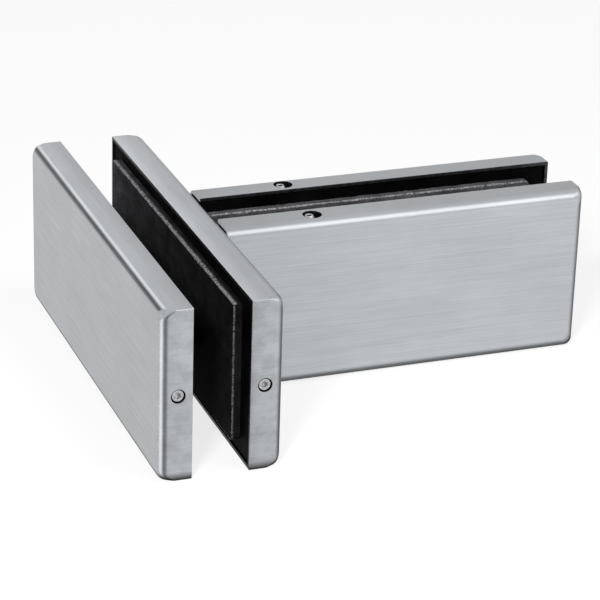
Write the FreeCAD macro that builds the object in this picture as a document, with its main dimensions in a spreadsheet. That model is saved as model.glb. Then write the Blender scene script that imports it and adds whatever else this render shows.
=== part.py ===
import FreeCAD, Part
import os
import Sketcher

# Glass patch fitting: a front clamp pair for a glass panel and, at right angles behind
# it, a fin clamp pair. Millimetres, +Z up, the covers stand on their lower long edges.
# World +X runs from the front pair out along the fin, and +Y along the front pair.

doc = FreeCAD.newDocument("GlassPatchFitting")
Vector = FreeCAD.Vector
Rotation = FreeCAD.Rotation

# Driving dimensions, each written once
sizes = {
    "cover_height": 50.0,
    "cover_depth": 9.3,
    "cover_wall": 1.0,
    "face_bend": 3.0,
    "front_length": 130.0,
    "fin_length": 110.3,
    "joint_gap": 0.2,
    "glass_gap": 12.2,
    "pad_proud": 2.0,
    "pad_side_margin": 3.4,
    "front_pad_margin": 6.9,
    "front_pad_shift": 1.1,
    "fin_pad_margin": 5.6,
    "joint_pad_margin": 0.1,
    "plate_recess": 0.4,
    "plate_fit": 0.1,
    "plate_chamfer": 0.4,
    "front_screw_spacing": 48.0,
    "fin_screw_from_joint": 34.0,
    "fin_screw_spacing": 48.0,
    "clamp_shank": 3.0,
    "clamp_head": 5.0,
    "clamp_head_height": 4.0,
    "clamp_hex": 4.0,
    "clamp_hex_depth": 2.2,
    "clamp_tip_room": 3.6,
    "fixing_shank": 2.5,
    "fixing_head": 4.25,
    "fixing_head_height": 3.5,
    "fixing_hex": 3.0,
    "fixing_hex_depth": 1.8,
    "fixing_length": 20.0,
    "fixing_spacing": 18.0,
    "head_sink": 0.2,
    "head_clearance": 0.1,
    "shank_clearance": 0.2,
    "thread_clearance": 0.05,
    "thread_room": 1.0,
    "sleeve_outer": 5.0,
    "sleeve_bore_clearance": 0.3,
    "sleeve_clearance": 0.3,
    "clamp_travel": 2.0,
    "set_level": 5.25,
    "set_radius": 2.0,
    "set_length": 8.0,
    "set_hex": 2.0,
    "set_hex_depth": 2.0,
    "set_sink": 0.6,
    "set_clearance": 0.2,
    "fin_set_clearance": 1.0,
    "fin_set_from_joint": 26.8,
    "fin_set_offset": 0.9,
    "tongue_height": 30.0,
    "tongue_step": 0.5,
    "tongue_clearance": 0.2,
}

sheet = doc.addObject("Spreadsheet::Sheet", "Sizes")
for row, (alias, value) in enumerate(sizes.items(), start=1):
    sheet.set(f"A{row}", alias)
    sheet.set(f"B{row}", str(value))
    sheet.setAlias(f"B{row}", alias)
doc.recompute()


def size(name):
    return f"Sizes.{name}"


# Sizes that follow from the driving ones
height = size("cover_height")
depth = size("cover_depth")
wall = size("cover_wall")
front_length = size("front_length")
fin_length = size("fin_length")
mid_height = f"{height} / 2"
plate_margin = f"({wall} + {size('plate_fit')})"
plate_face = f"({depth} - {size('plate_recess')})"
plate_thickness = f"({plate_face} - {wall})"
rim_gap = f"({size('glass_gap')} + 2 * {size('pad_proud')})"
plate_gap = f"({rim_gap} + 2 * {size('plate_recess')})"
pad_thickness = f"({size('plate_recess')} + {size('pad_proud')})"
inner_bend = f"{size('face_bend')} - {wall}"
clamp_span = f"(2 * ({depth} - {wall}) + {rim_gap} - {size('head_sink')})"
clamp_length = f"({clamp_span} - {size('clamp_head_height')} - {size('clamp_tip_room')})"

# World places, from the middle of the overall box
overall_reach = f"(2 * {depth} + {rim_gap} + {size('joint_gap')} + {fin_length})"
outer_face = f"(-{overall_reach} / 2)"
front_back_face = f"({outer_face} + 2 * {depth} + {rim_gap})"
fin_start = f"({front_back_face} + {size('joint_gap')})"
fin_end = f"(-{outer_face})"
fin_face = f"({rim_gap} / 2 + {depth})"

# The tongue of the near fin plate, in that plate's own frame
tongue_low = f"({wall} + {size('tongue_step')})"
tongue_thickness = f"({plate_face} - {tongue_low})"
tongue_length = f"({wall} + {size('joint_gap')})"
tongue_side = f"({mid_height} - {size('tongue_height')} / 2)"
tongue_middle = f"({fin_face} - ({plate_face} + {tongue_low}) / 2)"

# Start values that a sketch's own constraints then replace
rough_place = 1.0
rough_size = 4.0

# A cutter reaches this far past the face that it cuts
cut_over = 1.0


def bind(feature, values):
    """Ties each named property of a feature to an expression of the sizes."""
    for name, expression in values.items():
        feature.setExpression(name, expression)


def check_state(feature):
    """Stops the build where a feature failed or made no valid shape."""
    bad = [word for word in feature.State if word in ("Invalid", "Error")]
    if bad or feature.Shape.isNull() or not feature.Shape.isValid():
        raise RuntimeError(f"{feature.Label} failed: {feature.State}")


def start_body(label):
    body = doc.addObject("PartDesign::Body", label)
    body.Label = label
    return body


def start_sketch(body, name, role, offset=None):
    """A sketch on one of the body's own origin planes, moved along its normal."""
    sketch = body.newObject("Sketcher::SketchObject", name)
    plane = [item for item in body.Origin.OriginFeatures if item.Role == role][0]
    sketch.AttachmentSupport = (plane, "")
    sketch.MapMode = "FlatFace"
    if offset:
        sketch.setExpression("AttachmentOffset.Base.z", offset)
    return sketch


def place_point(sketch, geometry, vertex, across, up, name):
    """Holds a vertex at a distance from the sketch's origin, or on its axes."""
    for kind, axis, expression in (("DistanceX", -2, across), ("DistanceY", -1, up)):
        if expression is None:
            sketch.addConstraint(Sketcher.Constraint("PointOnObject", geometry, vertex, axis))
            continue
        constraint = Sketcher.Constraint(kind, -1, 1, geometry, vertex, rough_place)
        index = sketch.addConstraint(constraint)
        sketch.renameConstraint(index, f"{name}_{kind}")
        sketch.setExpression(f".Constraints.{name}_{kind}", expression)


def draw_rectangle(sketch, across, up, width, rise):
    """A rectangle with its lower left corner at (across, up); None means on the axis."""
    near = rough_place
    far = rough_place + rough_size
    corners = [Vector(x, y, 0) for x, y in ((near, near), (far, near), (far, far), (near, far))]
    sides = []
    for index, corner in enumerate(corners):
        line = Part.LineSegment(corner, corners[(index + 1) % 4])
        sides.append(sketch.addGeometry(line))
    for index, side in enumerate(sides):
        following = sides[(index + 1) % 4]
        sketch.addConstraint(Sketcher.Constraint("Coincident", side, 2, following, 1))
        direction = "Horizontal" if index % 2 == 0 else "Vertical"
        sketch.addConstraint(Sketcher.Constraint(direction, side))
    place_point(sketch, sides[0], 1, across, up, "corner")
    for kind, side, name, expression in (
        ("DistanceX", sides[0], "width", width),
        ("DistanceY", sides[1], "rise", rise),
    ):
        index = sketch.addConstraint(Sketcher.Constraint(kind, side, 1, side, 2, rough_size))
        sketch.renameConstraint(index, name)
        sketch.setExpression(f".Constraints.{name}", expression)


def draw_circle(sketch, across, up, radius, name):
    circle = Part.Circle(Vector(rough_place, rough_place, 0), Vector(0, 0, 1), rough_size)
    geometry = sketch.addGeometry(circle)
    place_point(sketch, geometry, 3, across, up, name)
    index = sketch.addConstraint(Sketcher.Constraint("Radius", geometry, rough_size))
    sketch.renameConstraint(index, f"{name}_radius")
    sketch.setExpression(f".Constraints.{name}_radius", radius)


def pad(body, name, sketch, length):
    feature = body.newObject("PartDesign::Pad", name)
    feature.Profile = sketch
    feature.setExpression("Length", length)
    doc.recompute()
    check_state(feature)
    return feature


def pocket(body, name, sketch, length=None, reverse=False):
    """Cuts against the sketch's normal, or along it when reversed; no length cuts through."""
    before = body.Shape.Volume
    feature = body.newObject("PartDesign::Pocket", name)
    feature.Profile = sketch
    feature.Reversed = reverse
    if length is None:
        feature.Type = "ThroughAll"
    else:
        feature.setExpression("Length", length)
    doc.recompute()
    check_state(feature)
    if feature.Shape.Volume >= before:
        raise RuntimeError(f"{body.Label}: {name} cuts nothing")
    return feature


def dress(body, kind, name, base, wanted, property_name, expression):
    """A fillet or chamfer on the base's edges for which wanted(edge) holds."""
    names = [f"Edge{i}" for i, edge in enumerate(base.Shape.Edges, start=1) if wanted(edge)]
    feature = body.newObject(kind, name)
    feature.Base = (base, names)
    feature.setExpression(property_name, expression)
    doc.recompute()
    check_state(feature)
    return feature


def lies_at(edge, axis, value):
    box = edge.BoundBox
    low = (box.XMin, box.YMin, box.ZMin)[axis]
    high = (box.XMax, box.YMax, box.ZMax)[axis]
    return abs(low - value) < 1e-4 and abs(high - value) < 1e-4


def place(feature, turn, position):
    """Turns a piece and ties its place to the sizes; None leaves a coordinate at zero."""
    feature.Placement = FreeCAD.Placement(Vector(0, 0, 0), turn)
    for axis, expression in zip("xyz", position):
        if expression is not None:
            feature.setExpression(f"Placement.Base.{axis}", expression)


# A half's own frame: x along its length, y up its height, z from its big face to its rim.
# Each half stands in the world by the directions of its x and z and by its corner.
upwards = Vector(0, 0, 1)
half_places = {
    "front_outer": (Vector(0, 1, 0), Vector(1, 0, 0), (outer_face, f"-{front_length} / 2", None)),
    "front_inner": (Vector(0, -1, 0), Vector(-1, 0, 0), (front_back_face, f"{front_length} / 2", None)),
    "fin_near": (Vector(-1, 0, 0), Vector(0, 1, 0), (fin_end, f"-{fin_face}", None)),
    "fin_far": (Vector(1, 0, 0), Vector(0, -1, 0), (fin_start, fin_face, None)),
}


def place_half(body, half):
    x_axis, z_axis, corner = half_places[half]
    place(body, Rotation(x_axis, upwards, z_axis, "XYZ"), corner)


def from_joint(half, distance):
    """A place along a fin half at a distance from its joint end."""
    return f"({fin_length} - ({distance}))" if half == "fin_near" else f"({distance})"


def clamp_places(half):
    """The two clamp screws' places along a half."""
    if is_front(half):
        middle = f"{front_length} / 2"
        shift = f"{size('front_screw_spacing')} / 2"
        return [f"({middle} - {shift})", f"({middle} + {shift})"]
    first = size("fin_screw_from_joint")
    second = f"{first} + {size('fin_screw_spacing')}"
    return [from_joint(half, first), from_joint(half, second)]


def is_front(half):
    return half.startswith("front")


def length_of(half):
    return front_length if is_front(half) else fin_length


def open_end(half):
    """Where a half stands open along its length: a fin half at its joint end."""
    if is_front(half):
        return None
    return sheet.get("fin_length") if half == "fin_near" else 0


def bends_with(half, level):
    """Picks the edges at a level that are bent: the long ones and those of closed ends."""
    joint_end = open_end(half)

    def is_bent(edge):
        at_joint = joint_end is not None and lies_at(edge, 0, joint_end)
        return lies_at(edge, 2, level) and not at_joint

    return is_bent


def end_margins(half, margin):
    """The margins at the start and the finish of a half, none where it stands open."""
    start = None if half == "fin_far" else margin
    finish = "0" if half == "fin_near" else margin
    return start, finish


def span(half, start, finish):
    return f"{length_of(half)} - {start or 0} - {finish}"


def make_cover(half):
    """A formed channel with bent edges round its big face, open at its rim. The front
    covers are closed at both ends, and the fin covers stand open at the joint."""
    body = start_body(f"{half}_cover")
    outline = start_sketch(body, "outline", "XY_Plane")
    draw_rectangle(outline, None, None, length_of(half), height)
    solid = pad(body, "blank", outline, depth)
    dress(body, "PartDesign::Fillet", "face_bends", solid, bends_with(half, 0),
          "Radius", size("face_bend"))

    start, finish = end_margins(half, wall)
    inside = start_sketch(body, "inside", "XY_Plane", depth)
    draw_rectangle(inside, start, wall, span(half, start, finish), f"{height} - 2 * {wall}")
    hollow = pocket(body, "hollow", inside, f"{depth} - {wall}")
    dress(body, "PartDesign::Fillet", "inner_bends", hollow,
          bends_with(half, sheet.get("cover_wall")), "Radius", inner_bend)
    cut_cover_holes(body, half)
    place_half(body, half)
    return body


def cut_cover_holes(body, half):
    """Set screw holes, and the tongue's window in the front inner cover."""
    if is_front(half):
        ends = start_sketch(body, "end_holes", "YZ_Plane")
        radius = f"{size('set_radius')} + {size('set_clearance')}"
        draw_circle(ends, mid_height, size("set_level"), radius, "set")
        pocket(body, "end_hole_cut", ends, reverse=True)
    else:
        sides = start_sketch(body, "edge_holes", "XZ_Plane")
        hole_place = from_joint(half, size("fin_set_from_joint"))
        radius = f"{size('set_radius')} + {size('fin_set_clearance')}"
        draw_circle(sides, hole_place, size("set_level"), radius, "set")
        pocket(body, "edge_hole_cut", sides)

    if half == "front_inner":
        gap = size("tongue_clearance")
        window = start_sketch(body, "tongue_window", "XY_Plane")
        near_side = f"{front_length} / 2 + {rim_gap} / 2 + {size('plate_recess')} - {gap}"
        draw_rectangle(window, near_side, f"{tongue_side} - {gap}",
                       f"{tongue_thickness} + 2 * {gap}", f"{size('tongue_height')} + 2 * {gap}")
        pocket(body, "tongue_window_cut", window, wall, reverse=True)


def make_plate(half):
    """The clamp plate that fills a cover, with its screw holes."""
    body = start_body(f"{half}_plate")
    start, finish = end_margins(half, plate_margin)
    outline = start_sketch(body, "outline", "XY_Plane", wall)
    draw_rectangle(outline, start, plate_margin, span(half, start, finish),
                   f"{height} - 2 * {plate_margin}")
    solid = pad(body, "blank", outline, plate_thickness)
    relieved = dress(body, "PartDesign::Chamfer", "back_relief", solid,
                     bends_with(half, sheet.get("cover_wall")), "Size", inner_bend)
    face = sheet.get("cover_depth") - sheet.get("plate_recess")

    def is_face_edge(edge):
        return lies_at(edge, 2, face)

    dress(body, "PartDesign::Chamfer", "face_chamfer", relieved, is_face_edge,
          "Size", size("plate_chamfer"))
    if half == "fin_near":
        add_tongue(body)

    headed = half in ("front_outer", "fin_far")
    places = [(across, mid_height) for across in clamp_places(half)]
    drill(body, "clamp_holes", places, plain_hole("clamp") if headed else tapped_hole("clamp"))
    if headed:
        seats = start_sketch(body, "head_seats", "XY_Plane", wall)
        sink_heads(body, seats, places, "clamp", reverse=True)
    if half == "front_inner":
        cut_fixing_holes(body)
    cut_set_holes(body, half)
    place_half(body, half)
    return body


def plain_hole(family):
    return f"({size(family + '_shank')} + {size('shank_clearance')})"


def tapped_hole(family):
    return f"({size(family + '_shank')} + {size('thread_clearance')})"


def drill(body, name, places, radius):
    """Round holes of one radius through the whole depth of a half."""
    sketch = start_sketch(body, name, "XY_Plane")
    for number, (across, rise) in enumerate(places, start=1):
        draw_circle(sketch, across, rise, radius, f"hole_{number}")
    pocket(body, f"{name}_cut", sketch, reverse=True)


def sink_heads(body, sketch, places, family, reverse):
    """Counterbores that let screw heads in below the face the sketch lies on."""
    radius = f"{size(family + '_head')} + {size('head_clearance')}"
    for number, (across, rise) in enumerate(places, start=1):
        draw_circle(sketch, across, rise, radius, f"seat_{number}")
    seat_depth = f"{size('head_sink')} + {size(family + '_head_height')}"
    pocket(body, f"{family}_seat_cut", sketch, seat_depth, reverse)


def add_tongue(body):
    """The tongue runs out of the joint end and seats on the front inner plate."""
    profile = start_sketch(body, "tongue_profile", "YZ_Plane", fin_length)
    draw_rectangle(profile, tongue_side, tongue_low, size("tongue_height"), tongue_thickness)
    pad(body, "tongue", profile, tongue_length)
    holes = start_sketch(body, "fixing_holes", "YZ_Plane", f"{fin_length} + {tongue_length}")
    for number, sign in enumerate(("-", "+"), start=1):
        rise = f"{mid_height} {sign} {size('fixing_spacing')} / 2"
        level = f"({tongue_low} + {plate_face}) / 2"
        draw_circle(holes, rise, level, tapped_hole("fixing"), f"fixing_{number}")
    held = f"({plate_thickness} - {size('head_sink')} - {size('fixing_head_height')})"
    reach = f"{size('fixing_length')} - {held} + {size('thread_room')}"
    pocket(body, "fixing_hole_cut", holes, reach)


def cut_fixing_holes(body):
    """Holes for the fixing screws in the front inner plate, heads on the pad side."""
    across = f"({front_length} / 2 + {tongue_middle})"
    shift = f"{size('fixing_spacing')} / 2"
    places = [(across, f"({mid_height} {sign} {shift})") for sign in ("-", "+")]
    drill(body, "fixing_holes", places, plain_hole("fixing"))
    seats = start_sketch(body, "fixing_seats", "XY_Plane", plate_face)
    sink_heads(body, seats, places, "fixing", reverse=False)


def cut_set_holes(body, half):
    """Tapped holes for the set screws that lock the cover."""
    radius = f"{size('set_radius')} + {size('thread_clearance')}"
    reach = f"{size('set_sink')} + {size('set_length')} + {size('thread_room')}"
    if is_front(half):
        plane = "YZ_Plane"
        spots = (("start", None, True), ("end", front_length, False))
        centre = (mid_height, size("set_level"))
    else:
        plane = "XZ_Plane"
        spots = (("start", None, False), ("end", f"-{height}", True))
        set_place = f"{size('fin_set_from_joint')} - {size('fin_set_offset')}"
        centre = (from_joint(half, set_place), size("set_level"))
    for name, offset, reverse in spots:
        sketch = start_sketch(body, f"set_hole_{name}", plane, offset)
        draw_circle(sketch, *centre, radius, "set")
        pocket(body, f"set_hole_cut_{name}", sketch, reach, reverse)


def make_gasket(half):
    """The pad on a clamp plate, proud of the rim, with holes round the sleeves."""
    body = start_body(f"{half}_gasket")
    side = f"({plate_margin} + {size('pad_side_margin')})"
    if is_front(half):
        margin = f"{plate_margin} + {size('front_pad_margin')}"
        start = f"({margin} + {size('front_pad_shift')})"
        finish = f"({margin} - {size('front_pad_shift')})"
    else:
        start = f"({plate_margin} + {size('fin_pad_margin')})"
        finish = size("joint_pad_margin")
    if half in ("front_inner", "fin_far"):
        start, finish = finish, start
    outline = start_sketch(body, "outline", "XY_Plane", plate_face)
    draw_rectangle(outline, start, side, span(half, start, finish), f"{height} - 2 * {side}")
    pad(body, "blank", outline, pad_thickness)
    places = [(across, mid_height) for across in clamp_places(half)]
    drill(body, "sleeve_holes", places, f"{size('sleeve_outer')} + {size('sleeve_clearance')}")
    place_half(body, half)
    return body


def make_sleeve(label, turn, position):
    """A sleeve round a clamp screw, seated on the tapped plate."""
    body = start_body(label)
    ring = start_sketch(body, "ring", "XY_Plane")
    draw_circle(ring, None, None, size("sleeve_outer"), "outer")
    bore = f"{size('clamp_shank')} + {size('sleeve_bore_clearance')}"
    draw_circle(ring, None, None, bore, "bore")
    pad(body, "wall", ring, f"{plate_gap} - {size('clamp_travel')}")
    place(body, turn, position)
    return body


def primitive(kind, name, values, level=None):
    """A Part primitive on the screw's axis, at a level along it."""
    feature = doc.addObject(kind, name)
    bind(feature, values)
    if level:
        feature.setExpression("Placement.Base.z", level)
    return feature


def finish_screw(label, blank, hex_flats, hex_depth, turn, position):
    """Cuts the hex socket into a screw's blank and puts the screw in the world."""
    socket = primitive("Part::Prism", f"{label}_socket", {
        "Circumradius": f"{hex_flats} / sqrt(3)",
        "Height": f"{hex_depth} + {cut_over}",
    }, f"-{cut_over}")
    socket.Polygon = 6
    screw = doc.addObject("Part::Cut", label)
    screw.Label = label
    screw.Base = blank
    screw.Tool = socket
    place(screw, turn, position)
    return screw


def make_cap_screw(label, family, length, turn, position):
    """A low-head socket cap screw, its own z running from the head's top to the tip."""
    head_height = size(f"{family}_head_height")
    blank = doc.addObject("Part::Fuse", f"{label}_blank")
    blank.Base = primitive("Part::Cylinder", f"{label}_head",
                           {"Radius": size(f"{family}_head"), "Height": head_height})
    blank.Tool = primitive("Part::Cylinder", f"{label}_shank",
                           {"Radius": size(f"{family}_shank"), "Height": length}, head_height)
    return finish_screw(label, blank, size(f"{family}_hex"), size(f"{family}_hex_depth"),
                        turn, position)


def make_set_screw(label, turn, position):
    """A headless socket screw, its own z running inwards from the socket."""
    blank = primitive("Part::Cylinder", f"{label}_shank",
                      {"Radius": size("set_radius"), "Height": size("set_length")})
    return finish_screw(label, blank, size("set_hex"), size("set_hex_depth"), turn, position)


def pointing(x, y, z):
    return Rotation(upwards, Vector(x, y, z))


def make_front_fasteners():
    """Clamp screws from the outer plate into the inner one, their sleeves, and set screws."""
    made = []
    head_level = f"{outer_face} + {wall} + {size('head_sink')}"
    sleeve_seat = f"{front_back_face} - {plate_face}"
    for number, sign in enumerate(("-", "+"), start=1):
        across = f"{sign}{size('front_screw_spacing')} / 2"
        made.append(make_cap_screw(f"front_clamp_screw_{number}", "clamp", clamp_length,
                                   pointing(1, 0, 0), (head_level, across, mid_height)))
        made.append(make_sleeve(f"front_sleeve_{number}", pointing(-1, 0, 0),
                                (sleeve_seat, across, mid_height)))
    levels = {
        "front_outer": f"{outer_face} + {size('set_level')}",
        "front_inner": f"{front_back_face} - {size('set_level')}",
    }
    for half, level in levels.items():
        for number, sign in enumerate((-1, 1), start=1):
            end = f"({sign}) * ({front_length} / 2 - {size('set_sink')})"
            made.append(make_set_screw(f"{half}_set_screw_{number}", pointing(0, -sign, 0),
                                       (level, end, mid_height)))
    return made


def make_fin_fasteners():
    """Clamp screws from the far plate into the near one, sleeves, set and fixing screws."""
    made = []
    head_level = f"{fin_face} - {wall} - {size('head_sink')}"
    sleeve_seat = f"-{fin_face} + {plate_face}"
    spots = ("0", size("fin_screw_spacing"))
    for number, extra in enumerate(spots, start=1):
        along_fin = f"{fin_start} + {size('fin_screw_from_joint')} + {extra}"
        made.append(make_cap_screw(f"fin_clamp_screw_{number}", "clamp", clamp_length,
                                   pointing(0, -1, 0), (along_fin, head_level, mid_height)))
        made.append(make_sleeve(f"fin_sleeve_{number}", pointing(0, 1, 0),
                                (along_fin, sleeve_seat, mid_height)))
    set_place = f"{fin_start} + {size('fin_set_from_joint')} - {size('fin_set_offset')}"
    for half, side in (("fin_near", "-"), ("fin_far", "")):
        level = f"{side}({fin_face} - {size('set_level')})"
        made.append(make_set_screw(f"{half}_set_screw_1", pointing(0, 0, -1),
                                   (set_place, level, f"{height} - {size('set_sink')}")))
        made.append(make_set_screw(f"{half}_set_screw_2", pointing(0, 0, 1),
                                   (set_place, level, size("set_sink"))))
    fixing_level = f"{front_back_face} - {plate_face} + {size('head_sink')}"
    for number, sign in enumerate(("-", "+"), start=1):
        rise = f"{mid_height} {sign} {size('fixing_spacing')} / 2"
        made.append(make_cap_screw(f"fin_fixing_screw_{number}", "fixing",
                                   size("fixing_length"), pointing(1, 0, 0),
                                   (fixing_level, f"-{tongue_middle}", rise)))
    return made


pieces = []
for half_name in half_places:
    pieces.append(make_cover(half_name))
    pieces.append(make_plate(half_name))
    pieces.append(make_gasket(half_name))
pieces += make_front_fasteners()
pieces += make_fin_fasteners()
doc.recompute()

for item in doc.Objects:
    if any(word in item.State for word in ("Invalid", "Error")):
        raise RuntimeError(f"{item.Label} failed: {item.State}")

os.makedirs("parts", exist_ok=True)
for piece in pieces:
    shape = piece.Shape
    if shape.isNull() or not shape.isValid() or len(shape.Solids) != 1:
        raise RuntimeError(f"{piece.Label} is not one valid solid")
    shape.exportStep(f"parts/{piece.Label}.step")
print(f"{len(pieces)} pieces written")
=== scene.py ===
from math import radians

import bmesh
import bpy
import numpy as np
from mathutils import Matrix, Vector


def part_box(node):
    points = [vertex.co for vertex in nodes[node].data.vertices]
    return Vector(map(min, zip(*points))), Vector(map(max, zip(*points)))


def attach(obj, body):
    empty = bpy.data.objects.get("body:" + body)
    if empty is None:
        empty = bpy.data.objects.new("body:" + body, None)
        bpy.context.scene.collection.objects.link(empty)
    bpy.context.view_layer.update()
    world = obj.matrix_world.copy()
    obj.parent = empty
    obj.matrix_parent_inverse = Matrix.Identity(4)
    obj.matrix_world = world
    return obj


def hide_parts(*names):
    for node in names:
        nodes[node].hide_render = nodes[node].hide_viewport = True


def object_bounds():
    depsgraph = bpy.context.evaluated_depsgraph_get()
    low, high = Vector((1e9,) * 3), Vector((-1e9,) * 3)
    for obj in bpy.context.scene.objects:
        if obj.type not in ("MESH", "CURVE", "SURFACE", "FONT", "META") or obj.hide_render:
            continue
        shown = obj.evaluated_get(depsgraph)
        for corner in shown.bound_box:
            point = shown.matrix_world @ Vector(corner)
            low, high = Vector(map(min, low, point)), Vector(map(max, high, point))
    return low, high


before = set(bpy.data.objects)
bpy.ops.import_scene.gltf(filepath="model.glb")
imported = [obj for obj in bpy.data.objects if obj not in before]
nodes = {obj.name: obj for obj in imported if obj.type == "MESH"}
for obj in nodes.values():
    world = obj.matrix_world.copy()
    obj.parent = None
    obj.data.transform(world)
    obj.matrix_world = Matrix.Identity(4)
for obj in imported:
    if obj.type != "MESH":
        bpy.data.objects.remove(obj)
cadLow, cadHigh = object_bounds()
mm = 0.001
print("frame loaded:", len(nodes), "nodes")


def addNode(tree, kind, inputs=None, **settings):
    # sets the node's properties, then fills or links its inputs by name or number
    node = tree.nodes.new(kind)
    for key, value in settings.items():
        setattr(node, key, value)
    for key, value in (inputs or {}).items():
        if isinstance(value, bpy.types.NodeSocket):
            tree.links.new(value, node.inputs[key])
        else:
            node.inputs[key].default_value = value
    return node


def startMaterial(name):
    # a new material with its nodes, its shader and the place on the object in metres
    material = bpy.data.materials.new(name)
    material.use_nodes = True
    tree = material.node_tree
    place = addNode(tree, "ShaderNodeTexCoord").outputs["Object"]
    return material, tree, tree.nodes["Principled BSDF"], place


def grey(tone):
    return (tone,) * 3


def addRamp(tree, factor, stops):
    # a colour from a factor, through stops of a factor and a colour
    ramp = addNode(tree, "ShaderNodeValToRGB", {"Fac": factor})
    ends = ramp.color_ramp.elements
    ends[0].position, ends[0].color = stops[0][0], (*stops[0][1], 1)
    ends[1].position, ends[1].color = stops[-1][0], (*stops[-1][1], 1)
    for place, colour in stops[1:-1]:
        ends.new(place).color = (*colour, 1)
    return ramp.outputs["Color"]


def addTone(tree, factor, limits, look):
    # the look's dark colour at the first limit, its light one at the second
    return addRamp(tree, factor, ((limits[0], look["dark"]), (limits[1], look["light"])))


def addRange(tree, value, start, finish, least=0.0, most=1.0, kind="LINEAR"):
    # the least up to the start, the most from the finish on
    node = addNode(tree, "ShaderNodeMapRange", {
        "Value": value, "From Min": start, "From Max": finish, "To Min": least, "To Max": most,
    }, interpolation_type=kind)
    return node.outputs["Result"]


def addAlong(tree, place, axis, stops):
    # a colour that changes along one axis, from stops of a place in metres and a colour
    along = addNode(tree, "ShaderNodeSeparateXYZ", {"Vector": place}).outputs[axis]
    low, high = stops[0][0], stops[-1][0]
    return addRamp(tree, addRange(tree, along, low, high),
                   [((stop - low) / (high - low), colour) for stop, colour in stops])


def addMath(tree, operation, first, second=0.5):
    return addNode(tree, "ShaderNodeMath", {0: first, 1: second}, operation=operation).outputs[0]


def mixValues(tree, factor, first, second):
    node = addNode(tree, "ShaderNodeMix", {0: factor, 2: first, 3: second}, data_type="FLOAT")
    return node.outputs[0]


def mixColours(tree, factor, first, second, blend="MIX"):
    return addNode(tree, "ShaderNodeMix", {0: factor, 6: first, 7: second},
                   data_type="RGBA", blend_type=blend).outputs[2]


def multiplyColours(tree, first, second):
    return mixColours(tree, 1.0, first, second, "MULTIPLY")


def addNoise(tree, place, cells, detail=3.0, roughness=0.55):
    # noise with so many cells to the metre, one number for all axes or one for each
    scale = cells if isinstance(cells, tuple) else (cells,) * 3
    mapping = addNode(tree, "ShaderNodeMapping", {"Vector": place, "Scale": scale})
    noise = addNode(tree, "ShaderNodeTexNoise", {
        "Vector": mapping.outputs["Vector"], "Scale": 1.0, "Detail": detail, "Roughness": roughness,
    })
    return noise.outputs["Fac"]


def setGloss(tree, shader, noise, roughness):
    # from the low roughness to the high one, over the part where most of the noise lies
    low, high = roughness
    tree.links.new(addRange(tree, noise, 0.3, 0.7, low, high), shader.inputs["Roughness"])


def setBump(tree, shader, height, strength, distance):
    bump = addNode(tree, "ShaderNodeBump", {
        "Height": height, "Strength": strength, "Distance": distance,
    })
    tree.links.new(bump.outputs["Normal"], shader.inputs["Normal"])


steelLook = {
    "light": (0.545, 0.562, 0.580),
    "dark": (0.440, 0.456, 0.474),
    "grainLength": 30.0,            # mm along the brushing
    "grainWidth": 0.42,             # mm across it
    "fineLength": 11.0,
    "fineWidth": 0.16,
    "fineShare": 0.42,
    "roughness": (0.27, 0.36),
    "bump": 0.07,
    "bumpHeight": 0.1 * mm,
    "contrast": 0.15,               # half the noise range over which dark turns into light
    "smallFaces": 0.45,             # strength of the lines on the narrow faces and ends
    "bigFaceTurn": (0.5, 0.9),      # the normal's share along an axis, from off it to on it
    "endTurn": (0.6, 0.95),
    "cloud": (42.0, 42.0, 90.0),    # cells to the metre of the duller patches
    "patches": 0.93,                # and their tone
    "blotch": (170.0, 170.0, 240.0),
    "spots": 0.82,                  # the same for the end faces' spots
    # painted shade: an axis, the places in metres where the painted shade is deepest and where it
    # ends, and how low the tone and specular tint go; here it darkens the fin covers towards the
    # front pair
    "paintedShadeAlong": (0, -0.040, 0.000, 0.88),
}
# on the front covers the painted shade darkens the foot, the lowest 2.6 mm along the bottom bend
frontSteelLook = dict(steelLook, bump=0.10, contrast=0.09, paintedShadeAlong=(2, 0.0005, 0.0026, 0.1))


def addLines(tree, place, axis, look):
    # a broad and a fine grain, long along one axis and narrow across it
    grains = []
    for grain, detail in (("grain", 3.0), ("fine", 2.0)):
        cells = [1000.0 / look[grain + "Width"]] * 3
        cells[axis] = 1000.0 / look[grain + "Length"]
        grains.append(addNoise(tree, place, tuple(cells), detail))
    return mixValues(tree, look["fineShare"], *grains)


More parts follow.
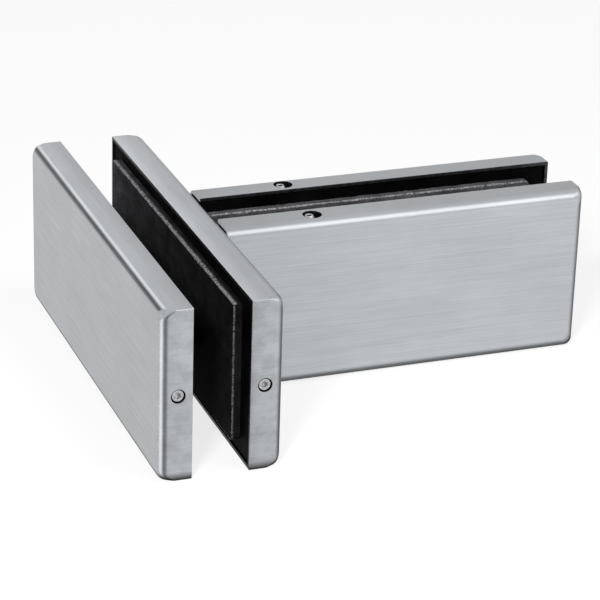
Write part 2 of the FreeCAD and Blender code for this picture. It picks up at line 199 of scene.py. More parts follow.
def makeBrushedSteel(name, axis, look):
    # tone, gloss and height vary in long fine lines along one axis, strongest on the big
    # face; on an end face, which stands across that axis, they go on level round the bend,
    # and there the spots are stronger; a painted shade darkens the tone and specular tint
    # along one axis
    material, tree, shader, place = startMaterial(name)
    normal = addNode(tree, "ShaderNodeTexCoord").outputs["Normal"]
    turned = addNode(tree, "ShaderNodeSeparateXYZ", {"Vector": normal}).outputs

    def facing(number, limits):
        return addRange(tree, addMath(tree, "ABSOLUTE", turned[number]), *limits, kind="SMOOTHSTEP")

    atEnd = facing(axis, look["endTurn"])
    lines = mixValues(tree, atEnd, addLines(tree, place, axis, look),
                      addLines(tree, place, 1 - axis, look))
    faint = mixValues(tree, look["smallFaces"], 0.5, lines)
    lines = mixValues(tree, facing(1 - axis, look["bigFaceTurn"]), faint, lines)
    tone = addTone(tree, lines, (0.5 - look["contrast"], 0.5 + look["contrast"]), look)
    cloud = addNoise(tree, place, look["cloud"])
    soft = addRamp(tree, cloud, ((0.35, grey(look["patches"])), (0.65, grey(1.0))))
    tone = multiplyColours(tree, tone, soft)
    blotch = addNoise(tree, place, look["blotch"], 4.0, 0.6)
    spots = addRamp(tree, blotch, ((0.38, grey(look["spots"])), (0.6, grey(1.0))))
    tone = mixColours(tree, atEnd, tone, multiplyColours(tree, tone, spots))
    # painted shade: the tone and the specular tint darken towards one end of an axis
    along, start, finish, lowest = look["paintedShadeAlong"]
    paintedShadeTone = addAlong(tree, place, along, ((start, grey(lowest)), (finish, grey(1.0))))
    tree.links.new(multiplyColours(tree, tone, paintedShadeTone), shader.inputs["Base Color"])
    tree.links.new(paintedShadeTone, shader.inputs["Specular Tint"])
    setGloss(tree, shader, lines, look["roughness"])
    setBump(tree, shader, lines, look["bump"], look["bumpHeight"])
    shader.inputs["Metallic"].default_value = 1.0
    return material


# near-black steel on the covers' rim rings, insides, fin rim roundings and hole and window walls:
# painted shade
shadedInsideLook = {"dark": (0.03, 0.03, 0.032), "light": (0.08, 0.08, 0.084), "stain": 700.0,
              "roughness": 0.5, "metal": 1.0}
cutLook = {"dark": (0.5, 0.51, 0.52), "light": (0.62, 0.63, 0.64), "stain": 700.0,
           "roughness": 0.7, "metal": 0.3}


def makeSheetEdge(name, look):
    # the sheet's sheared edges and its inside, dull, with small stains, in the look's two tones
    material, tree, shader, place = startMaterial(name)
    stain = addNoise(tree, place, look["stain"])
    tree.links.new(addTone(tree, stain, (0.3, 0.7), look), shader.inputs["Base Color"])
    shader.inputs["Roughness"].default_value = look["roughness"]
    shader.inputs["Metallic"].default_value = look["metal"]
    return material


plateLook = {"dark": (0.0008, 0.0008, 0.001), "light": (0.004, 0.004, 0.0044),
             "speck": 0.35,         # mm
             "wear": 90.0,          # cells to the metre
             "roughness": (0.5, 0.7), "bump": 0.25, "bumpHeight": 0.05 * mm, "gloss": 0.015}


def makeBlackPaint(name, look):
    # a satin black coating with fine specks in its tone, gloss and height
    material, tree, shader, place = startMaterial(name)
    specks = addNoise(tree, place, 1000.0 / look["speck"])
    wear = addNoise(tree, place, look["wear"])
    tone = addTone(tree, addMath(tree, "MULTIPLY", specks, wear), (0.15, 0.4), look)
    tree.links.new(tone, shader.inputs["Base Color"])
    setGloss(tree, shader, wear, look["roughness"])
    setBump(tree, shader, specks, look["bump"], look["bumpHeight"])
    shader.inputs["Specular IOR Level"].default_value = look["gloss"]
    return material


padLook = {
    # the front pads' tones, darker than the fin pads' as painted shade in the deep slot
    "dark": (0.007, 0.007, 0.008),
    "light": (0.026, 0.026, 0.028),
    "litCutDark": (0.03, 0.03, 0.032),
    "litCutLight": (0.42, 0.42, 0.43),
    "grain": 0.45,                      # mm
    "scuff": (140.0, 140.0, 220.0),     # cells to the metre
    "tear": 900.0,
    "tearLimits": (0.33, 0.5),          # the noise from which a cut edge is torn, and wholly torn
    "bump": 0.5,
    "bumpHeight": 0.1 * mm,
    "roughness": 0.85,
    "gloss": 0.03,
    "paintedLightMost": 4.0,                    # how much the painted light can brighten the rubber at the far end
}
# stops of a place along the front pair and the share of the most painted light there: painted shade
# towards the near end, painted light at the far end
frontPadShadeLightLook = dict(padLook, paintedShadeToLight=((-0.05, 0.12), (0.0, 0.2), (0.04, 0.4), (0.06, 1.0)))
# the fin pads: the same rubber in lighter tones, painted light
litFinPadLook = dict(padLook, dark=(0.03, 0.03, 0.032), light=(0.11, 0.11, 0.115))


def makeRubber(name, look):
    # matte rubber with a pebbled grain and scuffed patches; along its cut edges, which the
    # attribute "cut" marks, it is torn and paler, the paleness being a painted highlight
    # where the edge faces the light
    material, tree, shader, place = startMaterial(name)
    grain = addNoise(tree, place, 1000.0 / look["grain"], 4.0, 0.65)
    scuff = addNoise(tree, place, look["scuff"], 4.0, 0.6)
    skin = addTone(tree, addMath(tree, "MULTIPLY", grain, scuff), (0.14, 0.40), look)
    # painted shade towards the near end of the front pads and painted light at their far end
    if "paintedShadeToLight" in look:
        paintedShadeToLight = addAlong(tree, place, 1, [(stop, grey(share)) for stop, share in look["paintedShadeToLight"]])
        most = multiplyColours(tree, skin, (*grey(look["paintedLightMost"]), 1))
        skin = multiplyColours(tree, most, paintedShadeToLight)
    # the torn cut edge's pale tone, a painted highlight
    torn = addRamp(tree, grain, ((0.35, look["litCutDark"]), (0.68, look["litCutLight"])))
    cut = addNode(tree, "ShaderNodeAttribute", attribute_name="cut").outputs["Fac"]
    tear = addRange(tree, addNoise(tree, place, look["tear"], 3.0, 0.6), *look["tearLimits"])
    tone = mixColours(tree, addMath(tree, "MULTIPLY", cut, tear), skin, torn)
    tree.links.new(tone, shader.inputs["Base Color"])
    setBump(tree, shader, grain, look["bump"], look["bumpHeight"])
    shader.inputs["Roughness"].default_value = look["roughness"]
    shader.inputs["Specular IOR Level"].default_value = look["gloss"]
    return material


# thread: the near-black tone of the screw's sides, painted shade
screwLook = {"dark": (0.34, 0.34, 0.35), "light": (0.58, 0.58, 0.59), "stain": 900.0,
             "roughness": (0.22, 0.38), "thread": (0.06, 0.06, 0.062)}


def makeTurnedSteel(name, look):
    # plain screw steel with small stains; the sides that the attribute "thread" marks are darkened,
    # painted shade down in the hole
    material, tree, shader, place = startMaterial(name)
    stain = addNoise(tree, place, look["stain"], 4.0, 0.6)
    plain = addTone(tree, stain, (0.35, 0.65), look)
    side = addNode(tree, "ShaderNodeAttribute", attribute_name="thread").outputs["Fac"]
    tree.links.new(mixColours(tree, side, plain, (*look["thread"], 1)), shader.inputs["Base Color"])
    setGloss(tree, shader, stain, look["roughness"])
    shader.inputs["Metallic"].default_value = 1.0
    return material


sleeveLook = {"dark": (0.002, 0.002, 0.0022), "light": (0.006, 0.006, 0.0065), "mottle": 600.0,
              "bump": 0.2, "bumpHeight": 0.05 * mm, "roughness": 0.6, "gloss": 0.05}


def makeNylon(name, look):
    # black sleeve plastic, faintly mottled
    material, tree, shader, place = startMaterial(name)
    mottle = addNoise(tree, place, look["mottle"])
    tree.links.new(addTone(tree, mottle, (0.3, 0.7), look), shader.inputs["Base Color"])
    setBump(tree, shader, mottle, look["bump"], look["bumpHeight"])
    shader.inputs["Roughness"].default_value = look["roughness"]
    shader.inputs["Specular IOR Level"].default_value = look["gloss"]
    return material


frontSteel = makeBrushedSteel("frontCoverSteel", 1, frontSteelLook)
finSteel = makeBrushedSteel("finCoverSteel", 0, steelLook)
plateBlack = makeBlackPaint("clampPlateBlack", plateLook)
screwBlack = makeBlackPaint("screwBlack", dict(plateLook, speck=0.2, bump=0.1))
shadeLightPadRubber = makeRubber("shadeLightGasketRubber", frontPadShadeLightLook)
litFinPadRubber = makeRubber("litFinGasketRubber", litFinPadLook)
cutSteel = makeSheetEdge("cutSteel", cutLook)
setScrewSteel = makeTurnedSteel("setScrewSteel", screwLook)
shadedSheetEdge = makeSheetEdge("shadedSheetEdge", shadedInsideLook)
sleeveNylon = makeNylon("sleeveNylon", sleeveLook)
finishes = {"cover": finSteel, "plate": plateBlack, "gasket": shadeLightPadRubber,
            "set": setScrewSteel, "sleeve": sleeveNylon, "screw": screwBlack}


def finishOf(name):
    for word in ("set", "cover", "plate", "gasket", "sleeve"):
        if word in name.split("_"):
            return frontSteel if word == "cover" and name.startswith("front") else finishes[word]
    return finishes["screw"]


for name, node in nodes.items():
    node.data.materials.clear()
    node.data.materials.append(finishOf(name))
print("materials made")

sharpAngle = radians(28)


def numberGrid(rows, columns):
    return np.arange(rows * columns).reshape(rows, columns)


def gridQuads(rows, columns, closed=False):
    # corner numbers of a grid's cells; closed joins the last column to the first
    index = numberGrid(rows, columns)
    if closed:
        index = np.hstack([index, index[:, :1]])
    cells = np.stack([index[:-1, :-1], index[:-1, 1:], index[1:, 1:], index[1:, :-1]], axis=-1)
    return cells.reshape(-1, 4)


def tubeFaces(rows, columns):
    # the cells of a closed grid, and a flat face over its first and last row
    index = numberGrid(rows, columns)
    return [*gridQuads(rows, columns, closed=True), index[0], index[-1]]


def atLevels(flat, level):
    # adds each row's level to its flat points, as their third number
    rise = np.broadcast_to(level[:, None, None], (*flat.shape[:2], 1))
    return np.concatenate([flat, rise], axis=2)


def smoothShade(mesh):
    mesh.shade_smooth()
    mesh.set_sharp_from_angle(angle=sharpAngle)


def makePiece(name, points, faces, materials, slots=None):
    # puts whole arrays into a mesh, merges its doubles and turns its faces outwards
    mesh = bpy.data.meshes.new(name)
    mesh.from_pydata(points.reshape(-1, 3).tolist(), [], [list(face) for face in faces])
    for material in materials:
        mesh.materials.append(material)
    if slots is not None:
        mesh.polygons.foreach_set("material_index", slots)
    shape = bmesh.new()
    shape.from_mesh(mesh)
    bmesh.ops.remove_doubles(shape, verts=shape.verts, dist=1e-7)
    bmesh.ops.dissolve_degenerate(shape, edges=shape.edges, dist=1e-8)
    bmesh.ops.recalc_face_normals(shape, faces=shape.faces)
    shape.to_mesh(mesh)
    shape.free()
    piece = bpy.data.objects.new(name, mesh)
    bpy.context.scene.collection.objects.link(piece)
    smoothShade(mesh)
    return piece


def meshPoints(piece):
    points = np.empty(3 * len(piece.data.vertices))
    piece.data.vertices.foreach_get("co", points)
    return points.reshape(-1, 3)


def markPoints(piece, name, values):
    # a number for each point, which a material reads by its name
    piece.data.attributes.new(name, "FLOAT", "POINT").data.foreach_set("value", values)


def standFor(piece, node):
    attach(piece, "root")
    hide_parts(node)
    return piece


# A half's own axes in the world: along its length, up, and from its big face to its rim
halves = {
    "front_outer": {"along": (0, 1, 0), "deep": (1, 0, 0), "corner": ("low", "low")},
    "front_inner": {"along": (0, 1, 0), "deep": (-1, 0, 0), "corner": ("high", "low")},
    "fin_near": {"along": (1, 0, 0), "deep": (0, 1, 0), "corner": ("low", "low")},
    "fin_far": {"along": (1, 0, 0), "deep": (0, -1, 0), "corner": ("low", "high")},
}


def halfFrame(half):
    # the corner, axes and size of a half, from its cover's box
    low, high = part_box(f"{half}_cover")
    spec = halves[half]
    corner = np.array([
        (low if spec["corner"][0] == "low" else high)[0],
        (low if spec["corner"][1] == "low" else high)[1],
        low[2],
    ])
    axes = np.array([spec["along"], (0, 0, 1), spec["deep"]], float)
    extent = np.abs(axes @ (np.array(high) - np.array(low)))
    return corner, axes, extent


coverForm = {
    "wall": 1.0 * mm,
    "longBend": {"front": 2.4 * mm, "fin": 3.0 * mm},
    "endBend": {"front": 2.5 * mm, "fin": 2.9 * mm},
    "cornerBall": 2.3 * mm,       # a corner's radius close to the big face
    "cornerEdge": 0.35 * mm,      # and nearer the rim
    "ballDepth": (1.4 * mm, 4.8 * mm),    # depths between which one turns into the other
    "cornerInside": 0.6,          # how much of the wall an inner corner's radius loses
    "cornerLeast": 0.15 * mm,
    "rimRounding": 0.12 * mm,
    "flatRow": 0.06 * mm,         # a narrow row that keeps the flats flat
    "bendSteps": 20,
    "ballRows": 16,
    "rimSteps": 4,
    "cornerSteps": 12,
    "frontHole": 2.05 * mm,
    "finHole": 2.8 * mm,
    "finHoleFromJoint": 26.8 * mm,
    "holeDepth": 5.25 * mm,               # from the big face
    "windowSide": (1.3 * mm, 9.1 * mm),   # the tongue's opening, from the near fin's face
    "windowRise": (9.8 * mm, 40.2 * mm),
}


def softStep(value, start, finish):
    # 0 up to the start, 1 from the finish on; between, 3 squares less 2 cubes of the share
    share = np.clip((value - start) / (finish - start), 0, 1)
    return share * share * (3 - 2 * share)


def quarterInset(level, radius):
    # how far a quarter circle of this radius stands in at a depth below its tangent face
    drop = np.minimum(level, radius)
    return radius - np.sqrt(np.maximum(2 * radius * drop - drop * drop, 0))


def loopPoints(insetX, insetY, radius, length, height, flatRow, steps, isOpen):
    # a rounded rectangle for each level: quarter circles about the inset corners, with a
    # point just before and after each; an open one starts and ends on the joint's line
    turn = np.linspace(0, np.pi / 2, steps + 1)
    corners = [(1, -1, -np.pi / 2), (1, 1, 0)]
    if not isOpen:
        corners += [(-1, 1, np.pi / 2), (-1, -1, np.pi)]
    parts = []
    for sideX, sideY, start in corners:
        edgeX = length - insetX if sideX > 0 else insetX
        edgeY = height - insetY if sideY > 0 else insetY
        middleX, middleY = edgeX - sideX * radius, edgeY - sideY * radius
        angle = start + turn
        x = middleX[:, None] + radius[:, None] * np.cos(angle)
        y = middleY[:, None] + radius[:, None] * np.sin(angle)
        before = flatRow * np.array([np.sin(start), -np.cos(start)])
        after = flatRow * np.array([-np.cos(start), -np.sin(start)])
        x = np.hstack([x[:, :1] + before[0], x, x[:, -1:] + after[0]])
        y = np.hstack([y[:, :1] + before[1], y, y[:, -1:] + after[1]])
        parts.append(np.stack([x, y], axis=-1))
    if isOpen:
        zero = np.zeros_like(insetY)
        first = np.stack([zero, insetY], axis=-1)[:, None]
        last = np.stack([zero, height - insetY], axis=-1)[:, None]
        parts = [first, *parts, last]
    return np.concatenate(parts, axis=1)


def coverLevels(depth, form):
    # depths below the big face, from the rim to the face: a rounded rim edge, the rows over
    # which the corners change, and the bend in even angles, with the face itself twice
    rim = form["rimRounding"]
    turn = np.linspace(0, np.pi / 2, form["rimSteps"] + 1)
    atRim = depth - rim + rim * np.cos(turn)
    bend = max(*form["longBend"].values(), *form["endBend"].values())
    change = np.linspace(form["ballDepth"][1], bend, form["ballRows"])
    angle = np.linspace(np.pi / 2, 0, form["bendSteps"] + 1)
    return np.concatenate([atRim, change, bend * (1 - np.cos(angle))[1:], [0.0]])


def makeCoverShell(half):
    # The outer skin is a rounded rectangle carried from the rim to the big face, which it
    # reaches along quarter circles, one size on the long edges and one on the ends. The inner
    # skin is the same, one wall further in. A flat ring joins them at the rim, flat faces
    # close the big side, and a fin's cover is open and square where it meets the front pair.
    corner, axes, (length, height, depth) = halfFrame(half)
    form = coverForm
    isOpen = not half.startswith("front")
    pair = "fin" if isOpen else "front"
    endBend, longBend = form["endBend"][pair], form["longBend"][pair]
    wall, flatRow, rim = form["wall"], form["flatRow"], form["rimRounding"]
    level = coverLevels(depth, form)
    support = np.zeros_like(level)
    support[-1] = flatRow
    rimInset = rim - np.sqrt(np.maximum(rim * rim - np.maximum(level - depth + rim, 0) ** 2, 0))
    ballShare = 1 - softStep(level, *form["ballDepth"])
    radius = form["cornerEdge"] + (form["cornerBall"] - form["cornerEdge"]) * ballShare

    def skin(setIn, level, radius, rimInset):
        across = quarterInset(level, endBend - setIn) + setIn + support + rimInset
        up = quarterInset(level, longBend - setIn) + setIn + support + rimInset
        flat = loopPoints(across, up, radius, length, height, flatRow, form["cornerSteps"], isOpen)
        return atLevels(flat, level + setIn)

    outer = skin(0, level, radius, rimInset)
    innerRadius = np.maximum(radius - form["cornerInside"] * wall, form["cornerLeast"])
    inner = skin(wall, level * (depth - wall) / depth, innerRadius, 0)
    rows, columns = outer.shape[:2]
    shift = rows * columns
    grid = numberGrid(rows, columns)
    quads = gridQuads(rows, columns, closed=not isOpen)
    edges = [grid[0], grid[:, 0], grid[:, -1], grid[-1, [0, -1]]]
    if not isOpen:
        edges = [np.append(grid[0], grid[0, 0])]
    joins = [np.stack([edge[:-1], edge[1:], edge[1:] + shift, edge[:-1] + shift], axis=1)
             for edge in edges]
    faces = [*quads, *(quads + shift), *np.vstack(joins), grid[-1], grid[-1] + shift]
    polished, inside, cut = 0, 1, 2
    outerSlots = np.full(len(quads), polished)
    # painted shade: a fin cover's outer rim rounding takes the near-black steel, which hides its
    # highlight
    if isOpen:
        outerSlots[:form["rimSteps"] * (columns - 1)] = inside
    # the rim ring takes the near-black steel as painted shade; a fin's open end takes the matte cut
    # steel
    joinSlots = [np.full(len(join), inside if number == 0 else cut)
                 for number, join in enumerate(joins)]
    slots = np.concatenate([outerSlots, np.full(len(quads), inside), *joinSlots,
                            [polished, inside]])
    points = np.vstack([outer.reshape(-1, 3), inner.reshape(-1, 3)]) @ axes + corner
    material = finSteel if isOpen else frontSteel
    piece = makePiece(f"{half}_cover_shell", points, faces, [material, shadedSheetEdge, cutSteel], slots)
    cutOpenings(piece, half, corner, axes, (length, height, depth))
    return standFor(piece, f"{half}_cover")


def roundCutter(start, end, radius, steps=72):
    # a closed cylinder between two points: a circle carried along its axis
    start, end = np.array(start, float), np.array(end, float)
    direction = (end - start) / np.linalg.norm(end - start)
    side = np.cross(direction, [0.3, 0.5, 0.81])    # any direction that is on no axis
    side /= np.linalg.norm(side)
    other = np.cross(direction, side)
    turn = np.arange(steps) * 2 * np.pi / steps
    ring = radius * (np.cos(turn)[:, None] * side + np.sin(turn)[:, None] * other)
    return np.stack([start + ring, end + ring]), tubeFaces(2, steps)


def boxCutter(low, high):
    # a closed box: its lower rectangle carried up to the upper one
    low, high = np.array(low, float), np.array(high, float)
    ring = np.array([[0, 0], [1, 0], [1, 1], [0, 1]], float)
    flat = low[:2] + ring * (high - low)[:2]
    return atLevels(np.stack([flat, flat]), np.array([low[2], high[2]])), tubeFaces(2, 4)


def cutAway(piece, cutters, material):
    # takes each closed shape out of a piece, whose new faces get the material; no modifier
    # is left behind
    for number, (points, faces) in enumerate(cutters):
        cutter = makePiece(f"cutter{number}", points, faces, [material])
        cut = piece.modifiers.new("opening", "BOOLEAN")
        cut.operation = "DIFFERENCE"
        cut.solver = "EXACT"
        cut.material_mode = "TRANSFER"
        cut.object = cutter
        bpy.context.view_layer.update()
        graph = bpy.context.evaluated_depsgraph_get()
        mesh = bpy.data.meshes.new_from_object(piece.evaluated_get(graph))
        piece.modifiers.clear()
        piece.data = mesh
        bpy.data.objects.remove(cutter)
    smoothShade(piece.data)


def cutOpenings(piece, half, corner, axes, extent):
    # the set screw holes, and in the front inner cover the tongue's window
    length, height, depth = extent
    form = coverForm
    over = 1 * mm
    middle, level = height / 2, form["holeDepth"]
    cutters = []
    if half.startswith("front"):
        cutters.append(roundCutter((-over, middle, level), (length + over, middle, level),
                                   form["frontHole"]))
    else:
        place = form["finHoleFromJoint"]
        cutters.append(roundCutter((place, -over, level), (place, height + over, level),
                                   form["finHole"]))
    if half == "front_inner":
        riseLow, riseHigh = form["windowRise"]
        sideLow, sideHigh = form["windowSide"]
        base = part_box("fin_near_cover")[0][1] - corner[1]
        cutters.append(boxCutter((base + sideLow, riseLow, -over),
                                 (base + sideHigh, riseHigh, form["wall"] + over)))
    cutters = [(points.reshape(-1, 3) @ axes + corner, faces) for points, faces in cutters]
    # the walls of the holes and the window take the near-black steel, painted shade
    cutAway(piece, cutters, shadedSheetEdge)


for half in halves:
    makeCoverShell(half)
print("covers made")

padForm = {
    "spacing": 0.45 * mm,         # between points round the edge
    "ragged": 0.24 * mm,          # how far a point of the edge may stand in
    "broadShare": 0.6,            # of that, the part of the slower noise
    "edgeRounding": 0.25 * mm,
    "edgeSteps": 4,
    "sideRows": (0, 0.3, 0.6, 0.85),      # shares of the side's height
    "faceRows": (2, 4),           # insets on the free face, in edge roundings
    "corner": 1.8 * mm,
    # the outer part of the long edges and of the ends, where the torn cut edge takes a painted
    # highlight, less on the ends
    "litSide": {"front": 1.2 * mm, "fin": 0.6 * mm},
    "litEnd": 0.5 * mm,
    "litFull": 0.6,               # the share of that part where the paleness is whole
    "endPaleness": 0.4,
    "sleeveHole": 5.15 * mm,
    "seed": 7,
}


def localBox(name, half):
    # a node's low and high corner in a half's own axes
    corner, axes, _ = halfFrame(half)
    ends = (np.array(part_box(name)) - corner) @ axes.T
    return ends.min(axis=0), ends.max(axis=0), corner, axes


def wander(count, steps, seed):
    # seeded noise round a closed line: random values at each step, blended smoothly
    values = np.random.default_rng(seed).random(steps)
    place = np.arange(count) * steps / count
    first = place.astype(int)
    share = softStep(place - first, 0, 1)
    return values[first % steps] * (1 - share) + values[(first + 1) % steps] * share


def makePad(half, number):
    # A rounded rectangle's outline, its points standing in by seeded noise, is carried from
    # the plate to the free face, round a small edge and a little way in; flat faces close it.
    form = padForm
    low, high, corner, axes = localBox(f"{half}_gasket", half)
    (x0, y0, z0), (x1, y1, z1) = low, high
    counts = [max(2, int(round(side / form["spacing"]))) for side in (x1 - x0, y1 - y0)] * 2
    corners = np.array([[x0, y0], [x1, y0], [x1, y1], [x0, y1]])
    outline = np.vstack([
        start + (end - start) * np.linspace(0, 1, count, endpoint=False)[:, None]
        for start, end, count in zip(corners, np.roll(corners, -1, axis=0), counts)
    ])
    middle = (low[:2] + high[:2]) / 2
    reach = (high[:2] - low[:2]) / 2
    core = middle + np.clip(outline - middle, form["corner"] - reach, reach - form["corner"])
    outward = (outline - core) / np.linalg.norm(outline - core, axis=1)[:, None]
    outline = core + form["corner"] * outward
    edge = form["edgeRounding"]
    turn = np.linspace(0, np.pi / 2, form["edgeSteps"] + 1)
    sideRows, faceRows = np.array(form["sideRows"]), np.array(form["faceRows"])
    inset = np.concatenate([0 * sideRows, edge * (1 - np.cos(turn)), faceRows * edge])
    level = np.concatenate([z0 + (z1 - z0 - edge) * sideRows,
                            z1 - edge + edge * np.sin(turn), z1 + 0 * faceRows])
    rows, count = len(level), len(outline)
    seed, broad = form["seed"] + 10 * number, form["broadShare"]
    rough = np.stack([
        form["ragged"] * (broad * wander(count, count // 3, seed)
                          + (1 - broad) * wander(count, count, seed + row // 3))
        for row in range(rows)
    ])
    rough[-1] = 0
    flat = outline - (inset[:, None] + rough)[:, :, None] * outward
    points = atLevels(flat, level).reshape(-1, 3) @ axes + corner
    rubber = shadeLightPadRubber if half.startswith("front") else litFinPadRubber
    piece = makePiece(f"{half}_pad", points, tubeFaces(rows, count), [rubber])
    holes = []
    pair = half.split("_")[0]
    for hole in (1, 2):
        sleeveLow, sleeveHigh, _, _ = localBox(f"{pair}_sleeve_{hole}", half)
        x, y = ((sleeveLow + sleeveHigh) / 2)[:2]
        points, faces = roundCutter((x, y, z0 - mm), (x, y, z1 + mm), form["sleeveHole"])
        holes.append((points.reshape(-1, 3) @ axes + corner, faces))
    cutAway(piece, holes, rubber)
    local = (meshPoints(piece) - corner) @ axes.T
    atEdge = reach - np.abs(local[:, :2] - middle) < 1.2 * edge + form["ragged"]
    side, end, full = form["litSide"][pair], form["litEnd"], form["litFull"]
    # how much painted highlight each point of the cut edge takes
    sidePale = softStep(local[:, 2], z1 - side, z1 - side * full) * atEdge[:, 1]
    endPale = softStep(local[:, 2], z1 - end, z1 - end * full) * atEdge[:, 0]
    markPoints(piece, "cut", np.maximum(sidePale, endPale * form["endPaleness"]))
    return standFor(piece, f"{half}_gasket")


for number, half in enumerate(halves):
    makePad(half, number)
print("pads made")

setScrewForm = {
    "radius": 1.95 * mm,
    "thread": 0.7 * mm,           # pitch
    "threadDepth": 0.38 * mm,
    # the end's radius, its chamfer, the socket across flats and deep, and how far it is proud
    "frontEnd": {"endRadius": 1.62 * mm, "chamfer": 0.3 * mm, "hex": 1.5 * mm,
                 "hexDepth": 0.5 * mm, "proud": 0.15 * mm},
    "finEnd": {"endRadius": 1.15 * mm, "chamfer": 0.8 * mm, "hex": 1.3 * mm,
               "hexDepth": 1.6 * mm, "proud": 0.5 * mm},
    "coneDepth": 0.3 * mm,        # of the socket's bottom
    "coneTip": 0.02,              # its radius, in widths across flats
    "socketEdge": (0.12 * mm, 0.08 * mm),     # the broken edge's depth and width
    "firstThread": 0.3,           # the share of the thread's depth that the chamfer ends at
    "innerEnd": 0.3 * mm,         # the length without thread at the inner end
    "innerRadius": 0.6,           # and the radius there, as a share
    "unshadedRadius": 0.62,          # inside it the steel has no painted shade, in widths across flats
    "columns": 48,
    "rowsPerTurn": 8,
}


def makeSetScrew(node, half):
    # Turned about its axis: rows run from the middle of the hexagon's cone bottom, up its
    # six walls, over the end face and the chamfer, down a thread whose radius is a triangle
    # wave of height less turn, and close at the inner end.
    form = setScrewForm
    low, high = (np.array(end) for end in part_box(node))
    middle = (low + high) / 2
    coverLow, coverHigh = (np.array(end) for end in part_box(f"{half}_cover"))
    isFront = half.startswith("front")
    long = 1 if isFront else 2
    out = np.zeros(3)
    out[long] = np.sign(middle[long] - (coverLow + coverHigh)[long] / 2)
    length = (high - low)[long]
    end = form["frontEnd" if isFront else "finEnd"]
    radius, pitch, threadDepth = form["radius"], form["thread"], form["threadDepth"]
    turn = np.arange(form["columns"]) * 2 * np.pi / form["columns"]
    sixth = np.mod(turn, np.pi / 3) - np.pi / 6
    hexagon = end["hex"] / 2 / np.cos(sixth)
    flat = np.ones_like(turn)
    edgeDepth, edgeWidth = form["socketEdge"]
    rings = [(form["coneTip"] * end["hex"] * flat, -end["hexDepth"] - form["coneDepth"]),
             (hexagon, -end["hexDepth"]), (hexagon, -edgeDepth), (hexagon + edgeWidth, 0.0),
             (end["endRadius"] * flat, 0.0),
             (radius * flat - threadDepth * form["firstThread"], -end["chamfer"])]
    count = int((length - end["chamfer"]) / pitch * form["rowsPerTurn"])
    for depth in np.linspace(end["chamfer"] + 0.05 * mm, length - form["innerEnd"], count):
        wave = np.abs(2 * np.mod(depth / pitch + turn / (2 * np.pi), 1) - 1)
        rings.append((radius - threadDepth * wave, -depth))
    rings.append((form["innerRadius"] * radius * flat, -length))
    spread = np.stack([ring for ring, _ in rings])
    level = np.array([depth for _, depth in rings])
    side = np.roll(out, 1)
    other = np.cross(out, side)
    ring = spread[:, :, None] * (np.cos(turn)[:, None] * side + np.sin(turn)[:, None] * other)
    middle = middle + end["proud"] * out
    points = ring + (length / 2 + level)[:, None, None] * out + middle
    piece = makePiece(f"{node}_thread", points, tubeFaces(*spread.shape), [setScrewSteel])
    local = meshPoints(piece) - middle
    below = length / 2 - local @ out
    away = np.linalg.norm(local - np.outer(local @ out, out), axis=1)
    # painted shade on the thread and chamfer below the end face, outside the socket
    shadedSide = (below > 0.1 * mm) & (away > form["unshadedRadius"] * end["hex"])
    markPoints(piece, "thread", shadedSide.astype(float))
    return standFor(piece, node)


for half in halves:
    for number in (1, 2):
        makeSetScrew(f"{half}_set_screw_{number}", half)
print("set screws made")

stageLook = {
    "floor": (0.93, 0.93, 0.93),
    "floorDark": 0.985,           # tone of the paper's darker fibres
    "fibre": 60.0,                # cells to the metre
    "floorSize": 6.0,
    "below": 0.05 * mm,           # how far the floor is below the covers
    "roughness": 0.9,
    "gloss": 0.1,
    "shine": 0.8,                 # how much of the white background the camera sees in the floor
    "background": 1.0,
    "world": 0.16,                # the light from all round
    "mirrored": 0.9,              # the plain level that polished faces mirror
    "mirroredLeast": 0.05,
    "panelFull": 0.3,             # the share of a panel's reach where it is at its full level
}


def makeFloor():
    half = stageLook["floorSize"] / 2
    mesh = bpy.data.meshes.new("floor")
    level = -stageLook["below"]
    corners = [(-half, -half), (half, -half), (half, half), (-half, half)]
    mesh.from_pydata([(*corner, level) for corner in corners], [], [(0, 1, 2, 3)])
    floor = bpy.data.objects.new("floor", mesh)
    bpy.context.scene.collection.objects.link(floor)
    material, tree, shader, place = startMaterial("floorPaper")
    fibre = addNoise(tree, place, stageLook["fibre"])
    tint = tuple(stageLook["floorDark"] * value for value in stageLook["floor"])
    tree.links.new(addRamp(tree, fibre, ((0.3, tint), (0.7, stageLook["floor"]))),
                   shader.inputs["Base Color"])
    shader.inputs["Roughness"].default_value = stageLook["roughness"]
    shader.inputs["Specular IOR Level"].default_value = stageLook["gloss"]
    seen = addNode(tree, "ShaderNodeLightPath").outputs["Is Camera Ray"]
    white = addNode(tree, "ShaderNodeEmission", {"Color": (1, 1, 1, 1), "Strength": 1.0})
    both = addNode(tree, "ShaderNodeMixShader", {
        0: addMath(tree, "MULTIPLY", seen, stageLook["shine"]),
        1: shader.outputs["BSDF"], 2: white.outputs[0],
    })
    tree.links.new(both.outputs[0], tree.nodes["Material Output"].inputs["Surface"])
    mesh.materials.append(material)
    floor.visible_glossy = False


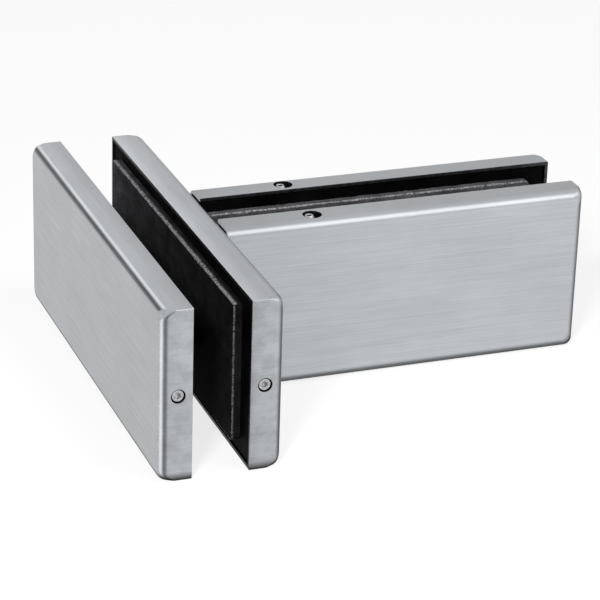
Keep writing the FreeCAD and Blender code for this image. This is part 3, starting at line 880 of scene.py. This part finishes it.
# Soft boxes and flags that stand round the table, as the polished faces mirror them: where
# each one is, how far it reaches in degrees, and what it adds to the plain level
studioPanels = {
    "highFront": {"toward": (0.34, -0.60, 0.72), "reach": 27, "level": 1.3},
    "highRight": {"toward": (0.80, -0.30, 0.52), "reach": 22, "level": 0.9},
    "lowLeft": {"toward": (-0.885, -0.25, -0.39), "reach": 24, "level": 1.0},
    "lowLeftFlag": {"toward": (-0.32, -0.86, -0.40), "reach": 38, "level": -0.6},
    "frontFill": {"toward": (0.42, -0.82, -0.39), "reach": 46, "level": 0.36},
    "frontFlag": {"toward": (-0.10, -0.98, 0.05), "reach": 22, "level": -0.6},
    "rightFlag": {"toward": (0.80, 0.45, -0.38), "reach": 45, "level": -0.5},
    "sideFlag": {"toward": (0.75, 0.65, 0.12), "reach": 24, "level": -0.5},
    "backStrip": {"toward": (0.02, 0.85, 0.53), "reach": 17, "level": 0.9},
    "backFlag": {"toward": (-0.36, 0.86, 0.36), "reach": 22, "level": -0.9},
    "backLow": {"toward": (-0.34, 0.85, -0.40), "reach": 45, "level": 0.02},
    "backTable": {"toward": (0.14, 0.85, -0.50), "reach": 24, "level": -0.6},
    "tableFlag": {"toward": (0.30, -0.05, -0.95), "reach": 62, "level": -0.65},
    "backDim": {"toward": (0.40, 0.84, 0.36), "reach": 24, "level": -0.2},
}


def addPanels(tree):
    # the plain level, plus for each panel a soft step of the angle away from its middle
    direction = addNode(tree, "ShaderNodeTexCoord").outputs["Generated"]
    total = stageLook["mirrored"]
    for panel in studioPanels.values():
        toward = np.array(panel["toward"])
        toward = tuple(toward / np.linalg.norm(toward))
        near = addNode(tree, "ShaderNodeVectorMath", {0: direction, 1: toward},
                       operation="DOT_PRODUCT").outputs["Value"]
        edge = float(np.cos(radians(panel["reach"])))
        full = float(np.cos(radians(panel["reach"] * stageLook["panelFull"])))
        share = addRange(tree, near, edge, full, most=panel["level"], kind="SMOOTHSTEP")
        total = addMath(tree, "ADD", share, total)
    return addMath(tree, "MAXIMUM", total, stageLook["mirroredLeast"])


def makeWorld():
    # white for the camera, the panels for what mirrors them, a plain soft level for the rest
    world = bpy.data.worlds.new("studio")
    bpy.context.scene.world = world
    world.use_nodes = True
    tree = world.node_tree
    tree.nodes.clear()
    rays = addNode(tree, "ShaderNodeLightPath").outputs
    plain, shown, mirrored = (
        addNode(tree, "ShaderNodeBackground", {"Color": (1, 1, 1, 1), "Strength": level}).outputs[0]
        for level in (stageLook["world"], stageLook["background"], addPanels(tree))
    )
    seen = addMath(tree, "MAXIMUM", rays["Is Camera Ray"], rays["Is Transmission Ray"])
    direct = addNode(tree, "ShaderNodeMixShader", {0: seen, 1: plain, 2: shown})
    both = addNode(tree, "ShaderNodeMixShader", {
        0: rays["Is Glossy Ray"], 1: direct.outputs[0], 2: mirrored,
    })
    addNode(tree, "ShaderNodeOutputWorld", {"Surface": both.outputs[0]})


lamps = {
    "keyLamp": {"place": (-0.59, -0.81, 0.75), "size": 0.25, "power": 16.0},
    "topLamp": {"place": (0.35, -0.30, 1.10), "size": 0.6, "power": 6.0},
}


def makeLamp(name, spec):
    data = bpy.data.lights.new(name, "AREA")
    data.shape = "DISK"
    data.size = spec["size"]
    data.energy = spec["power"]
    lamp = bpy.data.objects.new(name, data)
    bpy.context.scene.collection.objects.link(lamp)
    lamp.visible_glossy = False     # the polished faces mirror the panels
    lamp.location = spec["place"]
    middle = (cadLow + cadHigh) / 2
    lamp.rotation_euler = (middle - lamp.location).to_track_quat("-Z", "Y").to_euler()


cameraView = {
    "place": (-0.259506, -0.654031, 0.325276),
    "turn": (66.3067, -1.6414, -20.2331),
    "lens": 156.6,
    "sensor": 36.0,
    "clip": (0.01, 20.0),
}


def makeCamera():
    data = bpy.data.cameras.new("camera")
    data.lens = cameraView["lens"]
    data.sensor_width = cameraView["sensor"]
    data.clip_start, data.clip_end = cameraView["clip"]
    camera = bpy.data.objects.new("camera", data)
    bpy.context.scene.collection.objects.link(camera)
    camera.location = cameraView["place"]
    camera.rotation_euler = tuple(radians(angle) for angle in cameraView["turn"])
    bpy.context.scene.camera = camera


makeFloor()
makeWorld()
for name, spec in lamps.items():
    makeLamp(name, spec)
makeCamera()
bpy.context.scene.view_settings.view_transform = "Standard"
print("stage, light and camera set")
